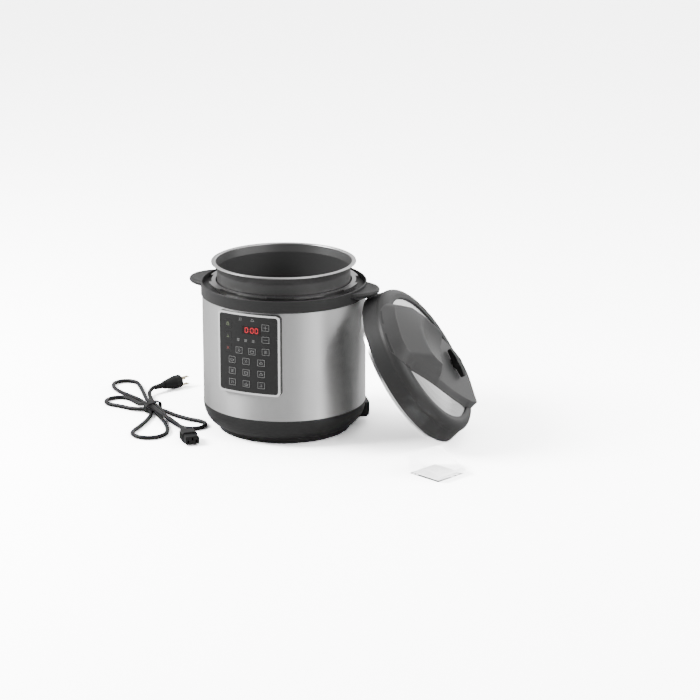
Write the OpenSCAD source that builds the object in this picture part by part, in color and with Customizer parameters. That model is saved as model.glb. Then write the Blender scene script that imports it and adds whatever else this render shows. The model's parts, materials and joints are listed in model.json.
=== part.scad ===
// Electric pressure cooker with its lid taken off and leaning on the right handle.
// Millimetres. Z is up, the origin is the centre of the foot ring on the table,
// the control panel faces -Y and the right handle points to +X.

/* [Body] */
// Outer diameter of the steel wall
body_d = 272; // [266:1:284]
// Height of the steel wall's lower edge
wall_bottom = 46; // [40:1:50]
// Height of the steel wall's upper edge
wall_top = 229.7; // [224:0.1:236]
// Thickness of the steel wall
wall_t = 0.8; // [0.6:0.1:1.2]
// Thickness of the moulded plastic walls
mould_t = 2.5; // [2:0.1:3]

/* [Base tray] */
// How far the foot ring stands in from the steel wall
foot_inset = 25; // [22:1:30]
// Width of the foot ring
foot_w = 6; // [4:0.5:9]
// Height of the foot ring under the bowl of the tray
foot_h = 9; // [7:0.5:12]
// Width of the rubber foot pads along the ring
pad_l = 26; // [15:1:40]

/* [Top ring] */
// Height of the ring above the wall's upper edge
ring_h = 20.3; // [18:0.1:24]
// How far the ring stands out past the wall
ring_over = 2; // [1.5:0.1:3]
// Depth of the drip trough below the ring's lip
trough_depth = 9; // [8.5:0.1:10]
// Radius of the round shelf of each handle
handle_r = 46; // [42:1:50]
// How far each handle reaches past the ring
handle_reach = 27; // [24:1:30]
// Drop of the handles' upper face below the ring's lip
handle_drop = 3; // [2:0.5:4]
// Turn of the handles from the panel's sides
handle_az = 6; // [0:1:8]
// Thickness of the handle at its tip
handle_tip_t = 8; // [6:0.5:9]
// Slope of the handle's underside, rise over reach
handle_slope = 0.42; // [0.36:0.01:0.48]

/* [Inner pot] */
// Space between the steel wall's outside and the pot
pot_inset = 25; // [24:0.5:28]
// Height of the pot
pot_h = 170; // [162:1:174]
// Wall thickness of the pot
pot_t = 1.5; // [1.2:0.1:2]
// How far the rolled rim stands out past the pot's body
pot_rim_over = 9.5; // [8:0.1:9.7]
// Thickness of the rolled rim
pot_rim_t = 2.4; // [2:0.1:3]
// Radius of the pot's bottom corner
pot_corner = 16; // [8:1:24]

/* [Pressure housing] */
// Gap between the pot and the housing round it
pot_gap = 2.5; // [2:0.1:3]
// Thickness of the housing's flange and floor
flange_t = 2.5; // [2:0.1:3]
// How far the locking flange stands out past the pot's body
flange_over = 14; // [13:0.1:14.5]
// Number of locking lugs on the flange and under the lid
lug_n = 8; // [6:1:10]
// Angle that one lug of the flange takes
lug_a = 24; // [20:1:26]

/* [Heater] */
// How far the heater plate's edge stands in from the pot's side
heater_inset = 19; // [15:1:28]
// Thickness of the heater plate
heater_t = 9.7; // [9:0.1:12]
// Radius of the middle line of the heating element
element_r = 68; // [60:1:74]
// Diameter of the heating element
element_d = 7.2; // [6:0.1:7.6]
// Diameter of the temperature sensor's cap
sensor_d = 28; // [24:1:32]
// Number of turns in the sensor's spring
spring_turns = 3; // [2:1:4]

/* [Control panel] */
// Width of the panel
panel_w = 111; // [107:1:115]
// Height of the panel
panel_h = 136; // [134:1:137]
// Height of the panel's lower edge
panel_z = 90.5; // [88:0.5:92]
// Radius of the panel's curved front
panel_r = 230; // [200:5:260]
// How far the middle of the panel stands out past the wall
panel_proud = 4; // [3.5:0.5:6]
// Width of the bright frame
frame_w = 3.2; // [2.5:0.1:4]
// Corner radius of the panel
panel_corner = 7; // [5:0.5:9]
// Width of a key
key_w = 13; // [11:0.5:14]
// Height of a key
key_h = 12; // [10:0.5:13]
// Clearance round a key
key_gap = 0.3; // [0.2:0.05:0.5]
// Width of the display window
display_w = 33; // [29:1:34]
// Height of the display window
display_h = 13; // [11:1:15]

/* [Lid] */
// How far the lid's lower edge stands out past the steel wall
lid_over = 0.5; // [0:0.1:1.5]
// Radius of the lid's rounded shoulder
shoulder_r = 14; // [12:0.5:15]
// Height of the centre of the shoulder's curve above the lower edge
shoulder_h = 26.5; // [25:0.5:28]
// Thickness of the steel dome
dome_t = 1.2; // [1:0.1:1.5]
// Height of the dome's crown above the lower edge
crown_h = 50; // [46:1:51]
// Thickness of the sealing ring round the dome's inside
seal_t = 4; // [3:0.1:4.4]
// Thickness of the sealing ring's lip, which lies on the pot's rim
seal_lip = 1.6; // [1.4:0.1:2.4]
// Depth of the dome's skirt below the lid's lower edge
skirt_drop = 8; // [7.5:0.1:8.2]
// Height of the bridge at its front end
bridge_front = 55; // [53:0.5:58]
// Height of the bridge at its tail
bridge_tail = 48.5; // [46:0.5:51]
// Height of the hand grip on the bridge
grip_h = 70.5; // [66:0.5:76]
// Half width of the hand grip along its upper edges
grip_w = 44; // [38:1:50]
// Reach of the bridge's tail from the lid's centre
tail_reach = 130; // [122:1:132]
// Length of the steam valve's lever
valve_l = 52; // [44:1:56]
// How far the leaning lid's upper edge stands off the ring
stand_off = 5.9; // [5:0.1:8]
// Gap between the top of the leaning lid and the handle's underside above it
tuck_gap = 1.2; // [1:0.1:3]

/* [Condensation cup] */
// Width of the cup
cup_w = 69; // [60:1:76]
// Depth of the cup from its tall wall
cup_l = 69; // [60:1:76]
// Height of the cup's tall wall
cup_h = 30; // [26:1:36]
// Height of the cup's low wall
cup_low = 9; // [7:1:14]
// Thickness of the cup's clear walls
cup_t = 1.8; // [1.4:0.1:2.4]

/* [Power cord] */
// Diameter of the cord
cord_d = 7; // [6:0.1:7]
// Length of the mains plug's body
plug_l = 35; // [31:1:38]
// Diameter of the mains plug's face
plug_d = 23; // [22:1:27]
// Length of the connector's body
connector_l = 36; // [32:1:42]

/* [Hidden] */
$fn = 96;
eps = 0.01;
gap = 0.3;

body_r = body_d / 2;
ring_r = body_r + ring_over;
ring_top = wall_top + ring_h;
wall_in = body_r - wall_t;
trough_z = ring_top - trough_depth;

lid_r = body_r + lid_over;
lid_k = lid_r / 136.5;
cover_t = 2.5;
shoulder_c = lid_r - 19.5;
cover_top = shoulder_h + shoulder_r;
dome_shoulder = shoulder_r - cover_t - 0.5;
dome_flat = shoulder_h + dome_shoulder;
lip_r = shoulder_c - 7.5;
skirt_r = shoulder_c + dome_shoulder;
crown_r = lip_r - 0.5;
dome_sphere = (crown_r * crown_r + pow(crown_h - dome_flat, 2)) / (2 * (crown_h - dome_flat));
seal_out = shoulder_c + dome_shoulder - dome_t - 0.4;
seal_in = seal_out - seal_t;
seal_top = shoulder_h + seal_out - shoulder_c;
rim_rise = seal_top - seal_lip - gap;

pot_r = body_r - pot_inset;
pot_top = ring_top + rim_rise;
pot_z = pot_top - pot_h;
pot_mouth = pot_r + 2;
rim_r = pot_r + pot_rim_over;

housing_in = pot_r + pot_gap;
housing_r = housing_in + 1.5;
flange_r = pot_r + flange_over;
lug_root = flange_r - 5;
flange_z = ring_top + 2;
heater_z = pot_z - gap;
plate_foot = 4.5;
housing_z = heater_z - heater_t - plate_foot;
housing_floor = housing_z - flange_t;
floor_hole = 20;

tray_z = foot_h;
tray_floor = tray_z + mould_t;
foot_r = body_r - foot_inset;

inlet_az = 35;
inlet_z = 24;
inlet_face = body_r + 5;
inlet_w = 44;
inlet_top = 34.5;

panel_top = panel_z + panel_h;
panel_front = body_r + panel_proud;
panel_axis = panel_r - panel_front;
overlay_t = 1.6;
overlay_sink = 0.7;
overlay_front = panel_r - overlay_sink;
window_w = panel_w - 2 * frame_w - 8;
window_h = panel_h - 2 * frame_w - 8;
board_y = -(body_r - 9.5);
board_t = 1.6;
// Depth of the overlay's back at a distance from the panel's middle.
function overlay_back(x) = panel_axis - sqrt(pow(overlay_front - overlay_t, 2) - x * x);

bridge_az = 310;
bridge_gap = 0.2;
valve_pos = [50, -37];
valve_az = -103;
float_pos = [70, -42];
valve_seat = 51;
float_r = 3;

// Where the lid leans: its upper edge is tucked under the right handle.
lean_pos_az = 8.2;
lean_az = 9.2;
lean_reach = ring_r + stand_off;
handle_top = ring_top - handle_drop;
handle_root_z = handle_top - handle_tip_t - handle_slope * (handle_reach - 1.5);
handle_x = ring_r + handle_reach - handle_r;
lean_side = lean_pos_az - handle_az;
lean_touch = norm([lean_reach * cos(lean_side) - handle_x, lean_reach * sin(lean_side)]);
lean_top = handle_root_z + handle_slope * (lean_touch - ring_r + handle_x) - tuck_gap;
lean = acos(lean_top / (2 * lid_r));
lean_dist = lean_reach + lid_r * sin(lean);
lean_centre = [lean_dist * cos(lean_pos_az), lean_dist * sin(lean_pos_az), lid_r * cos(lean)];

cup_pos = [333, -136, 0];
cup_az = -21;

// Middles of the keys: lock, delay, stop, plus, minus, set, warm, start, rice, soup, meat, bean,
// stew, fish, steam, cake and slow.
key_x = [-36, -36, -36, 32, 32, 32, -15, 8.5, -28.5, -2.5, 24, -28.5, -2.5, 24, -28.5, -2.5, 24];
// Heights of the keys and the display about the panel's middle, as shares of its height.
key_row = [0.35, 0.2, 0.05, 0.35, 0.2, 0.05, 0.04, 0.04, -0.09, -0.09, -0.09, -0.23, -0.23, -0.23,
           -0.37, -0.37, -0.37];
panel_mid = panel_z + panel_h / 2;
display_z = panel_mid + 0.3 * panel_h;
display_x = 7;

// ---- shared shapes ----

// Points on an arc about [x, y] from angle a0 to a1 in n steps.
function arc(x, y, r, a0, a1, n = 8) =
    [for (i = [0:n]) let (a = a0 + (a1 - a0) * i / n) [x + r * cos(a), y + r * sin(a)]];

// One point of the smooth curve through p1 and p2, with p0 and p3 as the points beyond them.
function curve_point(p0, p1, p2, p3, t) =
    0.5 * (2 * p1 + (p2 - p0) * t + (2 * p0 - 5 * p1 + 4 * p2 - p3) * t * t
           + (3 * p1 - p0 - 3 * p2 + p3) * t * t * t);

// A smooth curve through all the points, with n steps between neighbours.
function curve(p, n) = concat(
    [for (i = [0:len(p) - 2], k = [0:n - 1])
        curve_point(p[max(i - 1, 0)], p[i], p[i + 1], p[min(i + 2, len(p) - 1)], k / n)],
    [p[len(p) - 1]]);

function unit(v) = v / norm(v);

// A round bar of `sides` sides swept along a path of points.
module sweep(path, r, sides = 8) {
    last = len(path) - 1;
    rings = [for (i = [0:last])
        let (d = unit(path[min(i + 1, last)] - path[max(i - 1, 0)]),
             side = unit(cross(d, abs(d.z) > 0.9 ? [1, 0, 0] : [0, 0, 1])),
             up = cross(side, d))
        for (k = [0:sides - 1]) path[i] + r * (cos(360 * k / sides) * side + sin(360 * k / sides) * up)];
    walls = [for (i = [0:last - 1], k = [0:sides - 1])
        let (a = i * sides + k, b = i * sides + (k + 1) % sides)
        each [[a, a + sides, b], [b, a + sides, b + sides]]];
    end = last * sides;
    ends = [for (k = [1:sides - 2]) each [[0, k, k + 1], [end, end + k + 1, end + k]]];
    polyhedron(rings, concat(walls, ends), convexity = 10);
}

module rounded(w, h, r) {
    translate([-w / 2 + r, -h / 2]) square([w - 2 * r, h]);
    translate([-w / 2, -h / 2 + r]) square([w, h - 2 * r]);
    for (x = [-1, 1], y = [-1, 1]) translate([x * (w / 2 - r), y * (h / 2 - r)]) circle(r);
}

module tube(r_out, r_in, h) {
    difference() {
        cylinder(r = r_out, h = h);
        translate([0, 0, -1]) cylinder(r = r_in, h = h + 2);
    }
}

// ---- base ----

module outer_shell() {
    color("silver") difference() {
        translate([0, 0, wall_bottom]) tube(body_r, wall_in, wall_top - wall_bottom);
        translate([-window_w / 2, -body_r - 1, panel_mid - window_h / 2])
            cube([window_w, body_r, window_h]);
        dock_screw_shafts(1.8, 8);
    }
}

// Outer line of the tray's bowl, from the wall down to the foot ring.
bowl_r = body_r + 0.4;
bowl_h = wall_bottom - foot_h;
function bowl(inset) = [for (i = [0:10]) let (a = 9 * i)
    [foot_r + 1.5 - inset + (bowl_r - foot_r - 1.5) * pow(cos(a), 1.1),
     wall_bottom - (bowl_h - inset) * sin(a)]];

// Block that stands out of the bowl for the mains inlet, its lower edge cut on a slant.
module inlet_block(inset, back) {
    low = foot_h + 0.5 + inset;
    rotate([90, 0, inlet_az]) linear_extrude(inlet_w - 2 * inset, center = true) polygon([
        [back, low], [inlet_face - 4.5 - inset, low], [inlet_face - inset, low + 4],
        [inlet_face - inset, inlet_top - inset], [back, inlet_top - inset]]);
}

module inlet_hole(w, h, from, to) {
    rotate([0, 0, inlet_az]) translate([from, 0, inlet_z]) rotate([90, 0, 90])
        linear_extrude(to - from) rounded(w, h, 2.5);
}

post_x = 46;
post_y = 30;
module board_posts(r, h) {
    for (x = [-1, 1], y = [-1, 1]) translate([x * post_x, y * post_y, tray_floor - eps])
        cylinder(r = r, h = h);
}

board_z = tray_floor + 10;
module base_tray() {
    color([0.11, 0.11, 0.12]) difference() {
        union() {
            rotate_extrude($fn = 128) polygon(concat(
                bowl(0),
                [[foot_r + 0.6, foot_h - 1], [foot_r, 0], [foot_r - foot_w, 0],
                 [foot_r - foot_w - 0.5, tray_z], [0, tray_z], [0, tray_floor]],
                [for (i = [10:-1:0]) bowl(mould_t)[i]]));
            // upstand that the steel wall slips over
            translate([0, 0, wall_bottom - 4]) tube(wall_in - 0.2, wall_in - 0.2 - mould_t, 9);
            translate([0, 0, wall_bottom - 4]) tube(bowl_r - mould_t + eps, wall_in - 0.2 - mould_t, 4);
            inlet_block(0, foot_r - 8);
            for (a = [45:90:315]) rotate([0, 0, a]) translate([screw_r, 0, tray_floor - eps])
                cylinder(r = 4.5, h = 13);
            difference() {
                board_posts(4, board_z - tray_floor);
                board_posts(1.4, board_z);
            }
            // ribs from the middle out to the bowl
            for (a = [20:45:335]) rotate([0, 0, a]) translate([62, -1, tray_floor - eps]) cube([46, 2, 7]);
        }
        // pocket that opens the block to the inside, and the hole for the socket
        inlet_block(mould_t, foot_r - 14);
        inlet_hole(socket_w + 0.4, socket_h + 0.4, inlet_face - socket_deep - 0.5, inlet_face + 12);
        for (a = [45:90:315]) rotate([0, 0, a]) {
            translate([foot_r - foot_w / 2, 0, 0]) cube([foot_w - 1.6, pad_l, 3], center = true);
            translate([screw_r, 0, tray_z - 2.4]) cylinder(r = 2.2, h = 17);
        }
        // cooling slots in the floor
        for (a = [0:15:345]) rotate([0, 0, a]) translate([34, -1.5, 0]) cube([16, 3, tray_floor + 1]);
    }
}

module foot_pads() {
    color([0.06, 0.06, 0.06]) for (a = [45:90:315]) rotate([0, 0, a])
        translate([foot_r - foot_w / 2, 0, 0.7]) cube([foot_w - 2, pad_l - 0.4, 1.4], center = true);
}

screw_r = 90;
module base_screws() {
    color("dimgray") for (a = [45:90:315]) rotate([0, 0, a]) translate([screw_r, 0, 0]) {
        translate([0, 0, tray_z - 2.4]) difference() {
            cylinder(r = 4, h = 2.4 - 0.05);
            translate([-3, -0.5, -1]) cube([6, 1, 2]);
            translate([-0.5, -3, -1]) cube([1, 6, 2]);
        }
        translate([0, 0, tray_z - 0.1]) cylinder(r = 2, h = 14);
    }
}

// ---- mains inlet and boards ----

socket_w = 28;
socket_h = 18.5;
socket_deep = 20;
module inlet_socket() {
    color([0.08, 0.08, 0.09]) difference() {
        union() {
            inlet_hole(socket_w, socket_h, inlet_face - socket_deep, inlet_face + 0.8);
            inlet_hole(socket_w + 5, socket_h + 2, inlet_face + 0.05, inlet_face + 1.4);
        }
        inlet_hole(socket_w - 4, socket_h - 4, inlet_face - socket_deep + 2.5, inlet_face + 3);
        inlet_pin_shapes(0.05);
    }
}

module inlet_pin_shapes(grow) {
    rotate([0, 0, inlet_az]) for (p = [[-7, -2], [7, -2], [0, 2.5]])
        translate([inlet_face - socket_deep - 6, p.x - 1 - grow, inlet_z + p.y - 2 - grow])
            cube([socket_deep + 2, 2 + 2 * grow, 4 + 2 * grow]);
}

module inlet_pins() {
    color("silver") inlet_pin_shapes(0);
}

module power_board() {
    color([0.16, 0.33, 0.2]) difference() {
        translate([-post_x - 6, -post_y - 6, board_z]) cube([2 * post_x + 12, 2 * post_y + 12, board_t]);
        board_posts(1.6, board_z);
    }
    color([0.1, 0.1, 0.1]) for (b = [[-30, -8, 28, 24, 20], [6, -26, 19, 16, 16], [6, 4, 16, 13, 15]])
        translate([b[0], b[1], board_z + board_t - eps]) cube([b[2], b[3], b[4]]);
    color([0.2, 0.2, 0.25]) for (p = [[34, -10], [34, 4], [-40, -22]])
        translate([p.x, p.y, board_z + board_t - eps]) cylinder(r = 5, h = 16);
}

module control_board() {
    bw = window_w - 5;
    bh = window_h - 10;
    color([0.16, 0.33, 0.2]) translate([-bw / 2, board_y, panel_mid - bh / 2]) cube([bw, board_t, bh]);
    color([0.1, 0.1, 0.1]) for (p = [[-20, 40], [18, 60], [-8, 90]])
        translate([p.x, board_y + board_t - eps, panel_z + p.y]) cube([14, 3, 12]);
    // switches that stand just behind the keys
    color("silver") for (i = [0:len(key_x) - 1])
        translate([key_x[i], board_y + eps, panel_mid + key_row[i] * panel_h]) rotate([90, 0, 0])
            cylinder(r = 2.6, h = board_y - overlay_back(abs(key_x[i])) - 1, $fn = 24);
}

// ---- top ring with its handles ----

ring_groove = wall_in - 0.3;
module handle_form() {
    top = handle_top;
    tip_z = top - handle_tip_t / 2;
    round_r = handle_tip_t / 2;
    translate([handle_x, 0, 0]) rotate_extrude() polygon(concat(
        [[0, top - 0.8], [handle_r * 0.45, top - 0.9], [handle_r * 0.72, top - 0.6],
         [handle_r - round_r - 2, top]],
        arc(handle_r - round_r, tip_z, round_r, 90, -70, 8),
        [[ring_r - handle_x, handle_root_z], [0, handle_root_z]]));
}

module top_ring() {
    lip_in = ring_r - 2.6;
    color([0.13, 0.13, 0.14]) difference() {
        union() {
            rotate_extrude($fn = 128) polygon(concat(
                [[ring_r, wall_top]],
                arc(ring_r - 1.5, ring_top - 1.5, 1.5, 0, 90, 5),
                arc(lip_in + 0.8, ring_top - 0.8, 0.8, 90, 180, 3),
                [[lip_in - 0.8, trough_z], [housing_r + gap, trough_z], [housing_r + gap, trough_z - 9],
                 [housing_r + gap + 2, trough_z - 9], [housing_r + gap + 2, trough_z - mould_t],
                 [ring_groove - mould_t, trough_z - mould_t], [ring_groove - mould_t, wall_top - 8],
                 [ring_groove, wall_top - 8], [ring_groove, wall_top]]));
            difference() {
                for (a = [0, 180]) rotate([0, 0, a + handle_az]) handle_form();
                translate([0, 0, wall_top - 40]) cylinder(r = ring_r - 0.8, h = 80);
            }
        }
        // drain through the back of the lip, above the condensation cup's dock
        translate([-5, lip_in - 6, trough_z]) cube([10, 20, 4]);
    }
}

dock_w = 60;
dock_h = 62;
dock_z = wall_top - 14 - dock_h;
dock_screw_a = 11.5;
module dock_screw_shafts(r, length) {
    for (s = [-1, 1], z = [26, 60]) rotate([0, 0, 90 + s * dock_screw_a])
        translate([wall_in - 1, 0, wall_top - z]) rotate([0, 90, 0]) cylinder(r = r, h = length);
}

module dock_screws() {
    color("dimgray") {
        dock_screw_shafts(1.5, 7);
        for (s = [-1, 1], z = [26, 60]) rotate([0, 0, 90 + s * dock_screw_a])
            translate([wall_in - 2.1, 0, wall_top - z]) rotate([0, 90, 0]) cylinder(r = 3, h = 2);
    }
}

module cup_dock() {
    color([0.13, 0.13, 0.14]) difference() {
        translate([0, 0, dock_z]) intersection() {
            translate([-dock_w / 2, 0, 0]) cube([dock_w, body_r + 9, dock_h]);
            tube(body_r + 9, body_r + 0.1, dock_h);
        }
        translate([-dock_w / 2 + 5, body_r + 1.2, dock_z + 4]) cube([dock_w - 10, 4.4, dock_h]);
        translate([-dock_w / 2 + 9, body_r + 2, dock_z + 4]) cube([dock_w - 18, 20, dock_h]);
        dock_screw_shafts(1.5, 7.5);
    }
}

// ---- pressure housing, heater and sensor ----

module pressure_housing() {
    color([0.55, 0.55, 0.56]) difference() {
        rotate_extrude($fn = 128) polygon([
            [housing_r, housing_floor], [housing_r, flange_z - flange_t], [flange_r, flange_z - flange_t],
            [flange_r, flange_z], [housing_in, flange_z], [housing_in, housing_z], [floor_hole, housing_z],
            [floor_hole, housing_floor]]);
        for (i = [0:lug_n - 1]) rotate([0, 0, (i + 0.5) * 360 / lug_n]) notch(360 / lug_n - lug_a);
        for (s = [-1, 1]) rotate([0, 0, terminal_a * s]) translate([element_r, 0, housing_floor - 1])
            cylinder(r = element_d / 2 + 0.6, h = flange_t + 2);
        for (a = [90:120:330]) rotate([0, 0, a]) translate([bracket_screw_r, 0, housing_floor - 1])
            cylinder(r = 1.7, h = flange_t + 2);
    }
}

// Cutter for the space between two lugs.
module notch(angle) {
    translate([0, 0, flange_z - flange_t - 1]) rotate([0, 0, -angle / 2]) rotate_extrude(angle = angle)
        translate([lug_root, 0]) square([8, flange_t + 2]);
}

terminal_a = 14;
module heater_plate() {
    bore = sensor_d / 2 + 0.8;
    r = pot_r - heater_inset;
    color([0.72, 0.72, 0.73]) difference() {
        union() {
            rotate_extrude($fn = 128) polygon([
                [bore, heater_z - heater_t], [r - 4, heater_z - heater_t], [r, heater_z - heater_t + 4],
                [r, heater_z - 1], [r - 1, heater_z], [bore, heater_z]]);
            for (a = [90:120:330]) rotate([0, 0, a]) translate([element_r - 18, 0, housing_z])
                cylinder(r = 5, h = plate_foot + 1);
        }
        rotate_extrude($fn = 128) translate([element_r, element_z]) circle(element_d / 2 + 0.3, $fn = 24);
        rotate_extrude($fn = 128) translate([element_r - element_d / 2 - 0.3, element_z - 8])
            square([element_d + 0.6, 8]);
    }
}

element_z = heater_z - heater_t + 3.2;
module heating_element() {
    color([0.3, 0.3, 0.31]) {
        rotate([0, 0, terminal_a]) rotate_extrude(angle = 360 - 2 * terminal_a, $fn = 128)
            translate([element_r, element_z]) circle(element_d / 2, $fn = 24);
        for (s = [-1, 1]) rotate([0, 0, terminal_a * s]) translate([element_r, 0, housing_floor - 12])
            cylinder(r = element_d / 2, h = element_z - housing_floor + 12, $fn = 24);
    }
}

sensor_cap = 3;
stem_r = 5;
module temp_sensor() {
    color("silver") {
        translate([0, 0, heater_z - sensor_cap]) difference() {
            cylinder(r = sensor_d / 2, h = sensor_cap);
            translate([0, 0, -1]) tube(sensor_d / 2 - 1, stem_r + 4, 2.2);
        }
        translate([0, 0, housing_floor - 14]) cylinder(r = stem_r, h = heater_z - housing_floor + 12);
    }
}

bracket_screw_r = 26;
bracket_r = 32;
guide_top = heater_z - heater_t - plate_foot + 1;
module sensor_bracket() {
    color([0.6, 0.6, 0.62]) {
        difference() {
            union() {
                translate([0, 0, housing_floor - 2]) cylinder(r = bracket_r, h = 2 - 0.05);
                translate([0, 0, housing_floor - 8])
                    cylinder(r = stem_r + 3, h = guide_top - housing_floor + 8);
            }
            translate([0, 0, housing_floor - 20]) cylinder(r = stem_r + gap, h = 60);
            for (a = [90:120:330]) rotate([0, 0, a]) translate([bracket_screw_r, 0, housing_floor - 5])
                cylinder(r = 1.7, h = 10);
        }
        for (a = [90:120:330]) rotate([0, 0, a]) translate([bracket_screw_r, 0, housing_floor - 3.6]) {
            cylinder(r = 3, h = 1.6);
            cylinder(r = 1.5, h = 5.5);
        }
    }
}

spring_r = stem_r + 2;
module sensor_spring() {
    bottom = guide_top + 0.9;
    top = heater_z - sensor_cap - 0.9;
    steps = spring_turns * 14;
    path = [for (i = [0:steps]) let (a = 360 * i / 14)
        [spring_r * cos(a), spring_r * sin(a), bottom + (top - bottom) * i / steps]];
    color("silver") sweep(path, 0.6, 6);
}

module pressure_switch() {
    color([0.1, 0.1, 0.1]) rotate([0, 0, 200]) translate([52, 0, 0]) {
        translate([0, 0, housing_floor - 3.05]) cylinder(r = 13, h = 3);
        translate([-7, -11, housing_floor - 15]) cube([14, 22, 12.2]);
        for (y = [-7, 4]) translate([-0.4, y, housing_floor - 21]) cube([0.8, 4, 6.2]);
    }
}

// ---- control panel ----

// A block in front of the wall with the panel's outline, between two depths behind its curved front.
module panel_slab(w, h, corner, front, back) {
    intersection() {
        translate([0, 0, panel_mid]) rotate([90, 0, 0])
            linear_extrude(body_r + 30) rounded(w, h, corner);
        translate([0, panel_axis, 0]) difference() {
            cylinder(r = front, h = panel_top + 40, $fn = 192);
            if (back > 0) translate([0, 0, -1]) cylinder(r = back, h = panel_top + 42, $fn = 192);
        }
        translate([-body_r, -body_r - 30, 0]) cube([body_d, body_r, panel_top + 40]);
    }
}

module panel_housing() {
    color([0.12, 0.12, 0.13]) {
        difference() {
            panel_slab(panel_w, panel_h, panel_corner, panel_r - 1.2, 0);
            panel_slab(panel_w - 5, panel_h - 5, panel_corner - 2, panel_r + 1, 0);
            translate([0, 0, -1]) cylinder(r = body_r + 0.05, h = panel_top + 60, $fn = 192);
        }
        // inner wall that passes through the opening of the shell and carries the board
        difference() {
            panel_slab(window_w - 0.6, window_h - 0.6, 4, overlay_front - overlay_t - 0.2, 0);
            panel_slab(window_w - 4, window_h - 4, 3, panel_r + 1, 0);
            translate([-body_r, board_y - eps, 0]) cube([body_d, body_r, panel_top + 60]);
        }
        for (x = [-1, 1], z = [14, panel_h - 14])
            translate([x * (window_w / 2 - 4.2), board_y - eps, panel_z + z]) rotate([90, 0, 0])
                cylinder(r = 2.6, h = 4);
        // shelf under the overlay
        difference() {
            panel_slab(panel_w - 4.9, panel_h - 4.9, panel_corner - 2, overlay_front - overlay_t - 0.1,
                       overlay_front - overlay_t - 1.6);
            panel_slab(window_w - 1, window_h - 1, 4, panel_r + 1, 0);
            translate([0, 0, -1]) cylinder(r = body_r + 0.05, h = panel_top + 60, $fn = 192);
        }
    }
}

module panel_frame() {
    color([0.85, 0.85, 0.87]) difference() {
        panel_slab(panel_w, panel_h, panel_corner, panel_r, panel_r - 1.1);
        panel_slab(panel_w - 2 * frame_w, panel_h - 2 * frame_w, panel_corner - 2, panel_r + 1, 0);
    }
}

module panel_overlay() {
    color([0.15, 0.15, 0.16]) difference() {
        panel_slab(panel_w - 2 * frame_w - 0.2, panel_h - 2 * frame_w - 0.2, panel_corner - 2.1,
                   overlay_front, overlay_front - overlay_t);
        for (i = [0:len(key_x) - 1]) key_block(i, key_gap, panel_r + 5, 0);
        display_block(0.15, panel_r + 5, 0);
    }
}

module display_block(grow, front, back) {
    intersection() {
        translate([display_x, 0, display_z]) rotate([90, 0, 0]) linear_extrude(body_r + 30)
            rounded(display_w + 2 * grow, display_h + 2 * grow, 1.5);
        translate([0, panel_axis, 0]) difference() {
            cylinder(r = front, h = panel_top + 40, $fn = 192);
            if (back > 0) translate([0, 0, -1]) cylinder(r = back, h = panel_top + 42, $fn = 192);
        }
    }
}

module display_window() {
    color([0.25, 0.05, 0.05]) display_block(0, overlay_front - 0.05, overlay_front - overlay_t);
}

module display_module() {
    depth = board_y - overlay_back(display_x + display_w / 2) - 0.3;
    color([0.2, 0.2, 0.2])
        translate([display_x - display_w / 2 + 1, board_y - depth, display_z - display_h / 2 + 0.5])
            cube([display_w - 2, depth - 0.02, display_h - 1]);
}

module key_block(i, grow, front, back) {
    intersection() {
        translate([key_x[i], 0, panel_mid + key_row[i] * panel_h]) rotate([90, 0, 0])
            linear_extrude(body_r + 30) rounded(key_w + 2 * grow, key_h + 2 * grow, 2 + grow);
        translate([0, panel_axis, 0]) difference() {
            cylinder(r = front, h = panel_top + 40, $fn = 192);
            if (back > 0) translate([0, 0, -1]) cylinder(r = back, h = panel_top + 42, $fn = 192);
        }
    }
}

module key(i) {
    color([0.17, 0.17, 0.18]) key_block(i, 0, overlay_front + 0.15, overlay_front - overlay_t);
}

module key_lock() { key(0); }
module key_delay() { key(1); }
module key_stop() { key(2); }
module key_plus() { key(3); }
module key_minus() { key(4); }
module key_set() { key(5); }
module key_warm() { key(6); }
module key_start() { key(7); }
module key_rice() { key(8); }
module key_soup() { key(9); }
module key_meat() { key(10); }
module key_bean() { key(11); }
module key_stew() { key(12); }
module key_fish() { key(13); }
module key_steam() { key(14); }
module key_cake() { key(15); }
module key_slow() { key(16); }

// ---- inner pot ----

module inner_pot() {
    neck_z = pot_top - 14;
    c = pot_corner;
    color([0.28, 0.28, 0.29]) rotate_extrude($fn = 144) polygon(concat(
        [[0, pot_z]],
        arc(pot_r - c, pot_z + c, c, -90, 0, 8),
        [[pot_r, neck_z], [pot_mouth + pot_t, pot_top - pot_rim_t - 1.5],
         [pot_mouth + pot_t + 1.2, pot_top - pot_rim_t]],
        arc(rim_r - pot_rim_t / 2, pot_top - pot_rim_t / 2, pot_rim_t / 2, -90, 90, 6),
        arc(pot_mouth + 1.5, pot_top - 1.5, 1.5, 90, 180, 4),
        [[pot_r - pot_t, neck_z]],
        arc(pot_r - c, pot_z + c, c - pot_t, 0, -90, 8),
        [[0, pot_z + pot_t]]));
}

// ---- lid, drawn flat about its own axis and then leaned ----

module leaning() {
    translate(lean_centre) rotate([0, 90 - lean, lean_az]) rotate([0, 0, 90]) children();
}

function cover_outer(out) = concat(
    [[lid_r + out, 0]],
    arc(shoulder_c, shoulder_h, shoulder_r + out, -12, 90, 10),
    [[lip_r + 1, cover_top - 0.6 + out]]);

module lid_cover() {
    color([0.13, 0.13, 0.14]) leaning() rotate_extrude($fn = 144) polygon(concat(
        cover_outer(0),
        [[lip_r, cover_top - 1.4], [lip_r, dome_flat + 0.5]],
        arc(shoulder_c, shoulder_h, shoulder_r - cover_t, 90, 0, 8),
        [[lid_r - cover_t, 0]]));
}

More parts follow.
